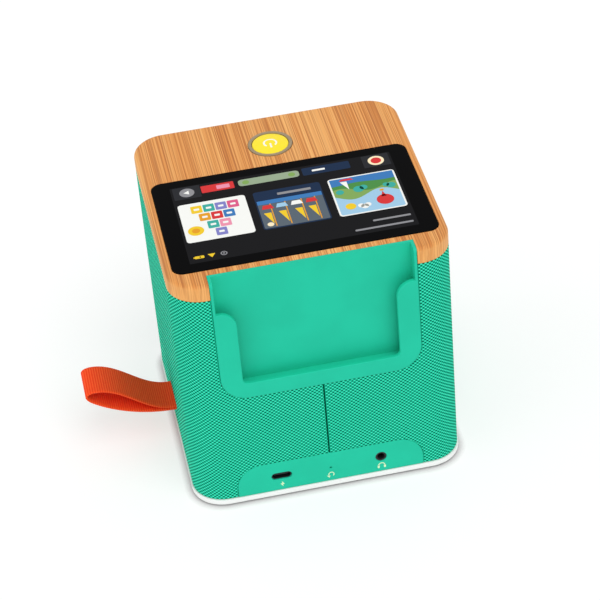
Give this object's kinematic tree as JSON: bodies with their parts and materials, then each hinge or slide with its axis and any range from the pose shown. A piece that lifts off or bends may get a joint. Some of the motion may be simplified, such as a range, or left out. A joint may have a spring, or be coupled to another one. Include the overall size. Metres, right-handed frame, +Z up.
{
  "type": "audio story player",
  "caption": "Fabric-covered cube audio player for children, with a bamboo top, touch display, push button, rear card pocket, rear sockets and a side webbing loop.",
  "frame": {"origin": "on the table, at the middle of the body, which leaves out the webbing loop at the side", "axes": "+Z up; +Y to the back, which has the card pocket and the sockets; +X to the side that has the webbing loop"},
  "size_m": [0.1669, 0.126, 0.1251],
  "materials": {
    "white_plastic": "satin",
    "pad_rubber": "matte",
    "steel": "satin",
    "housing_plastic": "matte",
    "mint_fabric": "woven mesh",
    "mint_plastic": "satin",
    "bamboo": "satin, oiled",
    "cover_glass": "polished, printed black behind",
    "panel": "satin",
    "ring_plastic": "satin",
    "yellow_plastic": "satin",
    "dark_plastic": "matte",
    "circuit_board": "satin",
    "red_webbing": "ribbed weave",
    "cell_wrap": "gloss",
    "cone_paper": "matte",
    "soft_rubber": "matte"
  },
  "bodies": {
    "body": {"base_cover": "white_plastic", "rubber_pad": "pad_rubber", "base_screws": "steel", "housing_shell": "housing_plastic", "fabric_sleeve": "mint_fabric", "bamboo_top": "bamboo", "top_carrier": "housing_plastic", "carrier_screws": "steel", "display_glass": "cover_glass", "display_panel": "panel", "display_frame": "steel", "button_ring": "ring_plastic", "button_switch": "dark_plastic", "button_board": "circuit_board", "card_pocket": "mint_plastic", "pocket_screws": "steel", "card_reader_board": "circuit_board", "port_panel": "mint_plastic", "panel_screws": "steel", "port_board": "circuit_board", "port_board_screws": "steel", "usb_socket": "steel", "usb_tongue": "dark_plastic", "headphone_socket": "dark_plastic", "reset_switch": "dark_plastic", "strap_loop": "red_webbing", "strap_clamp": "housing_plastic", "clamp_screws": "steel", "main_board": "circuit_board", "main_board_screws": "steel", "shield_can": "steel", "battery_cells": "cell_wrap", "battery_tray": "dark_plastic", "tray_screws": "steel", "speaker_grilles": "dark_plastic", "speaker_gaskets": "soft_rubber", "speaker_frames": "dark_plastic", "speaker_surrounds": "soft_rubber", "speaker_magnets": "steel", "speaker_screws": "steel"},
    "play_button": {"button_cap": "yellow_plastic", "button_stem": "dark_plastic"},
    "reset_pin": {"reset_button": "white_plastic"},
    "left_speaker_cone": {"left_cone": "cone_paper"},
    "right_speaker_cone": {"right_cone": "cone_paper"}
  },
  "joints": [
    {"name": "button_press", "type": "slide", "parent": "body", "child": "play_button", "axis": [0, 0, -1], "range_m": [0, 0.0006], "stiffness_N_per_m": 2500},
    {"name": "reset_press", "type": "slide", "parent": "body", "child": "reset_pin", "axis": [0, -1, 0], "range_m": [0, 0.00025], "stiffness_N_per_m": 4000},
    {"name": "left_cone_travel", "type": "slide", "parent": "body", "child": "left_speaker_cone", "axis": [0, -1, 0], "range_m": [-0.0008, 0.0008], "stiffness_N_per_m": 1000},
    {"name": "right_cone_travel", "type": "slide", "parent": "body", "child": "right_speaker_cone", "axis": [0, -1, 0], "range_m": [-0.0008, 0.0008], "stiffness_N_per_m": 1000}
  ]
}
